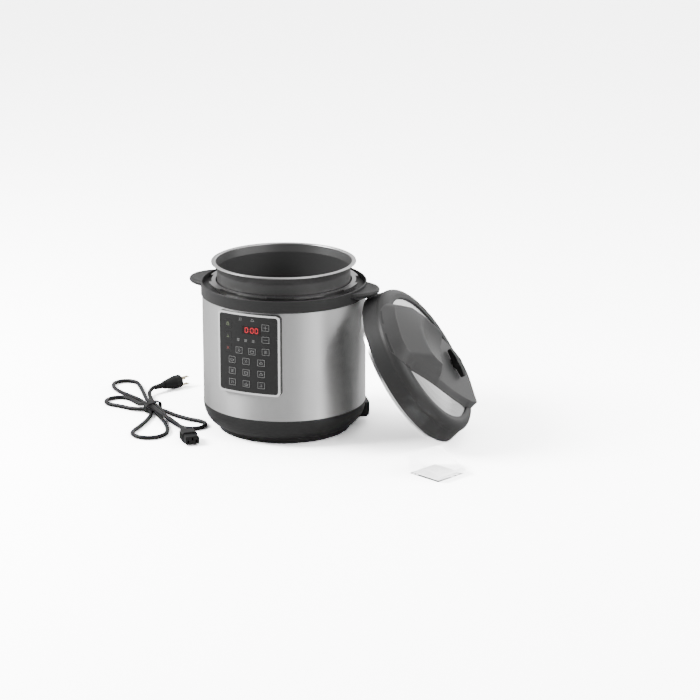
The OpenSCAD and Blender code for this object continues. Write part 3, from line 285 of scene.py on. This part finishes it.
def smooth_curve(name, points, radius, material):
    """A round rod along the smooth curve through the points."""
    data = bpy.data.curves.new(name, "CURVE")
    data.dimensions = "3D"
    data.resolution_u = 6
    data.bevel_depth = radius
    data.bevel_resolution = 3
    data.use_fill_caps = True
    spline = data.splines.new("BEZIER")
    spline.bezier_points.add(len(points) - 1)
    last = len(points) - 1
    for i, point in enumerate(points):
        before = points[i - 1] if i > 0 else point
        after = points[i + 1] if i < last else point
        slope = (Vector(after) - Vector(before)) / 6
        knot = spline.bezier_points[i]
        knot.co = point
        knot.handle_left = Vector(point) - slope
        knot.handle_right = Vector(point) + slope
    data.materials.append(material)
    obj = bpy.data.objects.new(name, data)
    bpy.context.scene.collection.objects.link(obj)
    return obj


def bezier_length(points, steps=12):
    """Length of the curve that smooth_curve makes through the points."""
    total, last = 0.0, len(points) - 1
    for i in range(last):
        p, q = points[i], points[i + 1]
        a = (q - points[max(i - 1, 0)]) / 6
        b = (points[min(i + 2, last)] - p) / 6
        before = p
        for k in range(1, steps + 1):
            t = k / steps
            here = ((1 - t) ** 3 * p + 3 * (1 - t) ** 2 * t * (p + a)
                    + 3 * (1 - t) * t * t * (q - b) + t ** 3 * q)
            total += (here - before).length
            before = here
    return total


cord = smooth_curve("cord_round", CORD_ROUTE, CORD_D / 2 * MM, MATS["cord_jacket"])
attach(cord, "mains_lead")
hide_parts("power_cord")
bezier_length(CORD_ROUTE)

# ---- the bridge on the lid, in millimetres along (a) and across (b) it and off the lid's edge (z) ----

SHOULDER_C, SHOULDER_H, SHOULDER_R = 117.0, 26.5, 14.0
LIP_R, CROWN_H, DOME_SPHERE = 109.5, 50.0, 481.5
LEAN, LEAN_AZ, BRIDGE_AZ = math.radians(32.682), math.radians(9.2), math.radians(310)
LEAN_CENTRE = Vector((0.215382, 0.031037, 0.114889))
BRIDGE_TO_WORLD = (Matrix.Translation(LEAN_CENTRE)
                   @ Euler((0, math.pi / 2 - LEAN, LEAN_AZ)).to_matrix().to_4x4()
                   @ Matrix.Rotation(math.pi / 2 + BRIDGE_AZ, 4, "Z") @ Matrix.Scale(MM, 4))
# Edge of the bridge's deck, as (a, b, how far the wall under it flares out).
DECK_EDGE = [
    (-120, 6, 11), (-118, -17, 11), (-113.5, -38, 12), (-104, -52, 14), (-91, -59.5, 15),
    (-70, -61.5, 13), (-45, -61, 13), (-15, -59, 14), (15, -57, 14), (45, -53, 13), (78, -46.5, 10),
    (104, -38.5, 8), (121, -30.5, 5), (124, -27.5, 4), (121.5, -18, 5), (118, -3, 6), (115, 14, 6),
    (109, 31, 7), (97, 47, 8), (78, 56, 8), (50, 60, 8), (15, 62, 8), (-15, 62, 8), (-45, 58, 8),
    (-75, 48, 9), (-98, 40, 10), (-111, 33, 11), (-117.5, 22, 11)]
DECK_H, DECK_SINK, TAIL_SINK = 52.6, 2.2, 1.6
HUMP_EDGE, HUMP_MID, HUMP_FRONT = 61.0, 2.0, 119
FRONT_SLOPE, NEAR_SLOPE, FAR_SLOPE = 0.27, 0.78, 0.85
SCOOP_H, SCOOP_RISE, SCOOP_HALF, SCOOP_START, SCOOP_RUN = 59.5, 8.5, 44, 25, 38
END_SLOPE, END_AT, END_SKEW, END_B = 1.6, -3, 0.28, 42
SPINE_FRONT, SPINE_TAIL = -80, 85
SEAT = 0.25
SINK_START, SINK_RUN = -10, 70
TAIL_START, TAIL_RUN = 60, 64
CROWN_FALL, CROWN_HALF = 1.2, 60
EDGE_STEPS, TOP_ROWS, UNDER_ROWS = 6, 44, 12
# Rings of the flared wall: share of the way out to its foot, and share of the way down.
WALL_RINGS = ((0.55, 0.5), (0.12, 0.08))
CUTTER_L, CUTTER_SIDES = 60, 48
VALVE_AT, VALVE_HOLE = (60.5, 14.5), 9.2
FLOAT_AT, FLOAT_HOLE = (77.2, 26.6), 3.6


def cover_height(r):
    """Height of the cover and the dome under the bridge at a distance from the lid's middle."""
    if r < LIP_R:
        return CROWN_H - DOME_SPHERE + math.sqrt(DOME_SPHERE ** 2 - r * r)
    reach = min(max(r - SHOULDER_C, 0), SHOULDER_R)
    return SHOULDER_H + math.sqrt(SHOULDER_R ** 2 - reach * reach)


def deck_height(a):
    """Height of the deck along the bridge, sinking gently towards its tail."""
    t = min(max((a - SINK_START) / SINK_RUN, 0), 1)
    tail = max(0, a - TAIL_START) / TAIL_RUN
    return DECK_H - DECK_SINK * t * t * (3 - 2 * t) - TAIL_SINK * tail


def soft_min(values, reach=0.9):
    """The least of the values, with the step from one to another rounded over the reach."""
    low = min(values)
    return low - reach * math.log(sum(math.exp((low - v) / reach) for v in values))


def bridge_height(a, b):
    """Top of the bridge: its deck, and on the front half the hand grip with its scoop."""
    deck = deck_height(a)
    across = b - HUMP_MID
    front = DECK_H + FRONT_SLOPE * (HUMP_FRONT - math.hypot(a, b))
    near = DECK_H + NEAR_SLOPE * (HUMP_EDGE + b)
    far = DECK_H + FAR_SLOPE * (HUMP_EDGE - b)
    scoop = (SCOOP_H + SCOOP_RISE * (across / SCOOP_HALF) ** 2
             + SCOOP_RISE * (max(0, -a - SCOOP_START) / SCOOP_RUN) ** 2)
    end = deck + END_SLOPE * (END_AT + END_SKEW * (b + END_B) - a)
    grip = soft_min((front, near, far, scoop, end))
    return -soft_min((-deck + CROWN_FALL * (b / CROWN_HALF) ** 2, -grip), 0.4)


def closed_curve(points, steps):
    """Points on the closed smooth curve through the given ones."""
    out, count = [], len(points)
    for i in range(count):
        p = [Vector(points[(i + k - 1) % count]) for k in range(4)]
        for k in range(steps):
            t = k / steps
            out.append(0.5 * (2 * p[1] + (p[2] - p[0]) * t
                              + (2 * p[0] - 5 * p[1] + 4 * p[2] - p[3]) * t * t
                              + (3 * p[1] - p[0] - 3 * p[2] + p[3]) * t ** 3))
    return out


def add_loop(bm, points):
    """New vertices of the mesh at the points, in their order."""
    return [bm.verts.new(p) for p in points]


def wall_feet(edge):
    """Where the wall under each point of the deck's edge meets the cover, as points (a, b)."""
    feet, reach = [], SHOULDER_C + SHOULDER_R - 0.3
    for i, p in enumerate(edge):
        along = edge[(i + 1) % len(edge)] - edge[i - 1]
        here = Vector((p.x, p.y))
        out = Vector((-along.y, along.x)).normalized()
        if out.dot(here) < 0:
            out = -out
        foot = here + out * p.z
        if foot.length > reach:
            foot *= reach / foot.length
        feet.append(foot)
    return feet


def middle_of(p):
    """The point of the bridge's middle line that an edge point runs to."""
    return min(max(p.x, SPINE_FRONT), SPINE_TAIL), HUMP_MID


def bridge_shell():
    """The bridge as a closed mesh: its flared wall, its top and its underside along the cover."""
    edge = closed_curve(DECK_EDGE, EDGE_STEPS)
    count = len(edge)
    feet = wall_feet(edge)
    bm = bmesh.new()
    loops = [add_loop(bm, [(q.x, q.y, cover_height(q.length) + SEAT) for q in feet])]
    for share, drop in WALL_RINGS:
        ring = []
        for p, q in zip(edge, feet):
            low, top = cover_height(q.length) + SEAT, bridge_height(p.x, p.y)
            ring.append((p.x + (q.x - p.x) * share, p.y + (q.y - p.y) * share, top + (low - top) * drop))
        loops.append(add_loop(bm, ring))
    for k in range(TOP_ROWS):
        s = k / TOP_ROWS
        ring = []
        for p in edge:
            mid_a, mid_b = middle_of(p)
            a, b = p.x + (mid_a - p.x) * s, p.y + (mid_b - p.y) * s
            ring.append((a, b, bridge_height(a, b)))
        loops.append(add_loop(bm, ring))
    under = [loops[0]]
    for k in range(UNDER_ROWS):
        s = k / UNDER_ROWS
        ring = []
        for p, q in zip(edge, feet):
            mid_a, mid_b = middle_of(p)
            a, b = q.x + (mid_a - q.x) * (s + 0.04) * 0.97, q.y + (mid_b - q.y) * (s + 0.04) * 0.97
            ring.append((a, b, cover_height(math.hypot(a, b)) + SEAT))
        under.append(add_loop(bm, ring))
    for stack, flip in ((loops, False), (under, True)):
        for lower, upper in zip(stack, stack[1:]):
            for i in range(count):
                j = (i + 1) % count
                quad = (lower[i], lower[j], upper[j], upper[i])
                bm.faces.new(quad[::-1] if flip else quad)
        cap = bm.faces.new(stack[-1] if not flip else stack[-1][::-1])
        bmesh.ops.triangulate(bm, faces=[cap])
    bmesh.ops.recalc_face_normals(bm, faces=bm.faces)
    mesh = bpy.data.meshes.new("lid_bridge_shell")
    bm.to_mesh(mesh)
    bm.free()
    return mesh


def drilled(mesh, holes):
    """The mesh with round holes (a, b, radius) cut through it."""
    obj = bpy.data.objects.new(mesh.name, mesh)
    bpy.context.scene.collection.objects.link(obj)
    cutters = []
    for a, b, r in holes:
        bpy.ops.mesh.primitive_cylinder_add(vertices=CUTTER_SIDES, radius=r, depth=CUTTER_L,
                                            location=(a, b, CROWN_H))
        cutter = bpy.context.object
        cutters.append(cutter)
        cut = obj.modifiers.new("hole", "BOOLEAN")
        cut.operation = "DIFFERENCE"
        cut.solver = "EXACT"
        cut.object = cutter
    result = bpy.data.meshes.new_from_object(obj.evaluated_get(bpy.context.evaluated_depsgraph_get()))
    for cutter in cutters:
        bpy.data.objects.remove(cutter)
    obj.modifiers.clear()
    obj.data = result
    return obj


bridge = drilled(bridge_shell(), [(*VALVE_AT, VALVE_HOLE), (*FLOAT_AT, FLOAT_HOLE)])
bridge.data.transform(BRIDGE_TO_WORLD)
bridge.data.materials.clear()
bridge.data.materials.append(MATS["bridge_plastic"])
bridge.data.shade_smooth()
bridge.data.set_sharp_from_angle(angle=math.radians(28))
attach(bridge, "lid")
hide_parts("lid_bridge")

# ---- printed marks of the control panel ----

BODY_R = 0.136
PANEL_R = 0.230
PANEL_AXIS = PANEL_R - BODY_R - 0.004
OVERLAY_FRONT = PANEL_R - 0.0007
PANEL_MID = 0.0905 + 0.068
MARK_LIFT = 0.00012
KEY_PROUD = 0.0007
KEY_STROKE = 0.00055
ICON_Z, ICON_SIZE = 0.2167, 0.0034
LEVEL_Z, LEVEL_SIZE = 0.1815, 0.003
ICONS = ((-0.0125, "steam"), (0.0092, "leaf"))
LEVELS = (-0.0165, -0.003, 0.0105)
GLYPH_SIZE = 0.0032
KEY_BOX_H, KEY_BOX_INSET = 0.0104, 0.0012
WHITE_INK = principled("ink_white", grey(0.3), 0.5, tint_spread=0.03)
GREEN_INK = principled("ink_green", (0.22, 0.26, 0.16), 0.5, tint_spread=0.03)
RED_INK = principled("ink_red", (0.34, 0.09, 0.08), 0.5, tint_spread=0.03)
LED_RED = principled("led_red", (0.4, 0.01, 0.02), 0.4, emission=(1.0, 0.03, 0.05), glow=0.7,
                     tint_spread=0.02)


def on_panel(x, z, lift=MARK_LIFT):
    """The point of the panel's curved front at a width and a height, in metres."""
    return Vector((x, PANEL_AXIS - math.sqrt((OVERLAY_FRONT + lift) ** 2 - x * x), z))


def printed(name, strokes, material, body, lift=MARK_LIFT, thickness=0.0005):
    """A mark of straight strokes (x0, z0, x1, z1) laid on the panel's curved front."""
    verts, faces = [], []
    for x0, z0, x1, z1 in strokes:
        dx, dz = x1 - x0, z1 - z0
        size = math.hypot(dx, dz)
        ux, uz = -dz / size * thickness / 2, dx / size * thickness / 2
        pieces = max(1, int(abs(dx) / 0.003))
        for k in range(pieces + 1):
            t = k / pieces
            x, z = x0 + dx * t, z0 + dz * t
            verts += [on_panel(x + ux, z + uz, lift), on_panel(x - ux, z - uz, lift)]
            if k:
                n = len(verts)
                faces.append((n - 4, n - 3, n - 1, n - 2))
    mesh = bpy.data.meshes.new(name)
    mesh.from_pydata(verts, [], faces)
    mesh.materials.append(material)
    obj = bpy.data.objects.new(name, mesh)
    bpy.context.scene.collection.objects.link(obj)
    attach(obj, body)
    return obj


def outline_box(x, z, w, h):
    """The four strokes of a box about a point."""
    x0, x1, z0, z1 = x - w / 2, x + w / 2, z - h / 2, z + h / 2
    return [(x0, z0, x1, z0), (x1, z0, x1, z1), (x1, z1, x0, z1), (x0, z1, x0, z0)]


def glyph(kind, x, z, s):
    """Simple line drawings for the keys, without words."""
    plans = {
        "plus": [(-1, 0, 1, 0), (0, -1, 0, 1)],
        "minus": [(-1, 0, 1, 0)],
        "bowl": [(-1, 0.2, 1, 0.2), (-1, 0.2, -0.5, -0.8), (1, 0.2, 0.5, -0.8), (-0.5, -0.8, 0.5, -0.8)],
        "pot": [(-0.9, 0.3, -0.9, -0.8), (-0.9, -0.8, 0.9, -0.8), (0.9, -0.8, 0.9, 0.3),
                (-1.1, 0.4, 1.1, 0.4), (0, 0.4, 0, 0.8)],
        "steam": [(-0.6, -0.8, -0.3, 0), (-0.3, 0, -0.6, 0.8), (0.3, -0.8, 0.6, 0), (0.6, 0, 0.3, 0.8)],
        "leaf": [(-0.9, -0.5, 0, 0.8), (0, 0.8, 0.9, -0.5), (0.9, -0.5, -0.9, -0.5)],
        "cake": [(-0.9, -0.8, 0.9, -0.8), (-0.9, -0.1, 0.9, -0.1), (-0.9, -0.8, -0.9, -0.1),
                 (0.9, -0.8, 0.9, -0.1), (0, 0.1, 0, 0.8)],
        "clock": [(0, 0, 0, 0.8), (0, 0, 0.5, -0.3), (-0.8, -0.6, 0.8, -0.6)],
        "lock": [(-0.7, -0.8, 0.7, -0.8), (0.7, -0.8, 0.7, 0.1), (0.7, 0.1, -0.7, 0.1),
                 (-0.7, 0.1, -0.7, -0.8), (-0.4, 0.1, -0.4, 0.8), (-0.4, 0.8, 0.4, 0.8),
                 (0.4, 0.8, 0.4, 0.1)],
        "cross": [(-0.7, -0.7, 0.7, 0.7), (-0.7, 0.7, 0.7, -0.7)],
        "bars": [(-0.8, 0.6, 0.8, 0.6), (-0.8, 0, 0.8, 0), (-0.8, -0.6, 0.8, -0.6)],
    }
    return [(x + p * s, z + q * s, x + u * s, z + v * s) for p, q, u, v in plans[kind]]


KEY_MARKS = {
    "lock": ("lock", GREEN_INK), "delay": ("clock", GREEN_INK), "stop": ("cross", RED_INK),
    "plus": ("plus", WHITE_INK), "minus": ("minus", WHITE_INK), "set": ("bars", WHITE_INK),
    "warm": ("steam", WHITE_INK), "start": ("pot", WHITE_INK), "rice": ("bowl", WHITE_INK),
    "soup": ("steam", WHITE_INK), "meat": ("leaf", WHITE_INK), "bean": ("bars", WHITE_INK),
    "stew": ("pot", WHITE_INK), "fish": ("leaf", WHITE_INK), "steam": ("steam", WHITE_INK),
    "cake": ("cake", WHITE_INK), "slow": ("clock", WHITE_INK),
}
for key, (kind, ink) in KEY_MARKS.items():
    key_low, key_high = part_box("key_" + key)
    mid_x, mid_z = (key_low[0] + key_high[0]) / 2, (key_low[2] + key_high[2]) / 2
    wide = key_high[0] - key_low[0]
    strokes = glyph(kind, mid_x, mid_z, GLYPH_SIZE)
    if ink is WHITE_INK:
        strokes += outline_box(mid_x, mid_z, wide - KEY_BOX_INSET, KEY_BOX_H)
    printed("mark_" + key, strokes, ink, "pad_" + key, KEY_PROUD + MARK_LIFT, KEY_STROKE)

for n, (x, kind) in enumerate(ICONS):
    printed(f"panel_icon_{n}", glyph(kind, x, ICON_Z, ICON_SIZE), WHITE_INK, "base")
for n, x in enumerate(LEVELS):
    printed(f"panel_level_{n}", glyph("bars", x, LEVEL_Z, LEVEL_SIZE), WHITE_INK, "base",
            MARK_LIFT, 0.0006)

DIGIT_W, DIGIT_H = 0.0046, 0.0082
DIGITS_AT = (-0.0085, 0.0015, 0.0092)
COLON_FROM, COLON_TO, COLON_Z = 0.004, 0.0032, 0.0016


def digit(x, z):
    """The outline of a zero made of six segments."""
    w, h, g = DIGIT_W / 2, DIGIT_H / 2, 0.0004
    return [(x - w + g, z + h, x + w - g, z + h), (x - w + g, z - h, x + w - g, z - h),
            (x - w, z + g, x - w, z + h - g), (x + w, z + g, x + w, z + h - g),
            (x - w, z - g, x - w, z - h + g), (x + w, z - g, x + w, z - h + g)]


window_low, window_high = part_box("display_window")
display_x = (window_low[0] + window_high[0]) / 2
display_z = (window_low[2] + window_high[2]) / 2
led = []
for x in DIGITS_AT:
    led += digit(display_x + x, display_z)
for dot_z in (display_z + COLON_Z, display_z - COLON_Z):
    led.append((display_x - COLON_FROM, dot_z, display_x - COLON_TO, dot_z))
printed("display_digits", led, LED_RED, "base", 0.0001, 0.0013)

# ---- studio ----


def add_floor():
    """A pale floor, which the camera sees as overexposed as the photograph's."""
    bpy.ops.mesh.primitive_plane_add(size=40, location=(0, 0, -0.0002))
    floor = bpy.context.object
    floor.name = "studio_floor"
    mat = bpy.data.materials.new("studio_floor")
    mat.use_nodes = True
    tree = mat.node_tree
    tree.nodes.remove(tree.nodes["Principled BSDF"])
    paths = tree.nodes.new("ShaderNodeLightPath")
    either = tree.nodes.new("ShaderNodeMath")
    either.operation = "MAXIMUM"
    plain = tree.nodes.new("ShaderNodeBsdfDiffuse")
    seen = tree.nodes.new("ShaderNodeBsdfDiffuse")
    plain.inputs["Color"].default_value = (*grey(FLOOR_ALBEDO), 1)
    seen.inputs["Color"].default_value = (*grey(FLOOR_SEEN), 1)
    mix = tree.nodes.new("ShaderNodeMixShader")
    tree.links.new(paths.outputs["Is Camera Ray"], either.inputs[0])
    tree.links.new(paths.outputs["Is Transmission Ray"], either.inputs[1])
    tree.links.new(either.outputs["Value"], mix.inputs["Fac"])
    tree.links.new(plain.outputs["BSDF"], mix.inputs[1])
    tree.links.new(seen.outputs["BSDF"], mix.inputs[2])
    tree.links.new(mix.outputs["Shader"], tree.nodes["Material Output"].inputs["Surface"])
    floor.data.materials.append(mat)


def add_area(name, at, target, size, power):
    """A square soft light of a size in metres and a power in watts, turned to a target."""
    data = bpy.data.lights.new(name, "AREA")
    data.shape = "SQUARE"
    data.size = size
    data.energy = power
    obj = bpy.data.objects.new(name, data)
    bpy.context.scene.collection.objects.link(obj)
    obj.location = at
    obj.rotation_mode = "QUATERNION"
    obj.rotation_quaternion = (Vector(target) - Vector(at)).to_track_quat("-Z", "Y")


# Brightness of the studio's walls by compass angle in degrees, counted from +X towards +Y.
WALLS = [(-180, 6.0), (-168, 6.0), (-150, 1.2), (-122, 0.5), (-64, 0.55), (-42, 1.6), (-30, 12.0),
         (-12, 12.0), (2, 2.0), (14, 0.9), (30, 0.9), (52, 2.0), (72, 7.0), (100, 7.0), (124, 1.6),
         (166, 6.0), (180, 6.0)]
WALLS_PEAK = 12.0


def add_world():
    """Studio walls that are brighter in some directions, for the bands in the brushed steel."""
    world = bpy.data.worlds.new("studio")
    world.use_nodes = True
    tree = world.node_tree
    background = tree.nodes["Background"]
    coords = tree.nodes.new("ShaderNodeTexCoord")
    around = tree.nodes.new("ShaderNodeTexGradient")
    around.gradient_type = "RADIAL"
    ramp = tree.nodes.new("ShaderNodeValToRGB")
    ramp.color_ramp.interpolation = "LINEAR"
    stops = ramp.color_ramp.elements
    while len(stops) < len(WALLS):
        stops.new(0.5)
    for stop, (angle, value) in zip(stops, WALLS):
        stop.position = angle / 360 + 0.5
        stop.color = (*grey(value / WALLS_PEAK), 1)
    tree.links.new(coords.outputs["Generated"], around.inputs["Vector"])
    tree.links.new(around.outputs["Color"], ramp.inputs["Fac"])
    tree.links.new(ramp.outputs["Color"], background.inputs["Color"])
    background.inputs["Strength"].default_value = WALLS_PEAK * WORLD_SHARE
    bpy.context.scene.world = world


FLOOR_ALBEDO = 0.5
FLOOR_SEEN = 5.0
WORLD_SHARE = 0.3
add_floor()
add_world()
add_area("key", (-1.7, -1.0, 1.7), (0, 0, 0.1), 1.0, 105)
add_area("right", (2.0, 0.6, 1.2), (0.25, 0, 0.15), 0.9, 26)
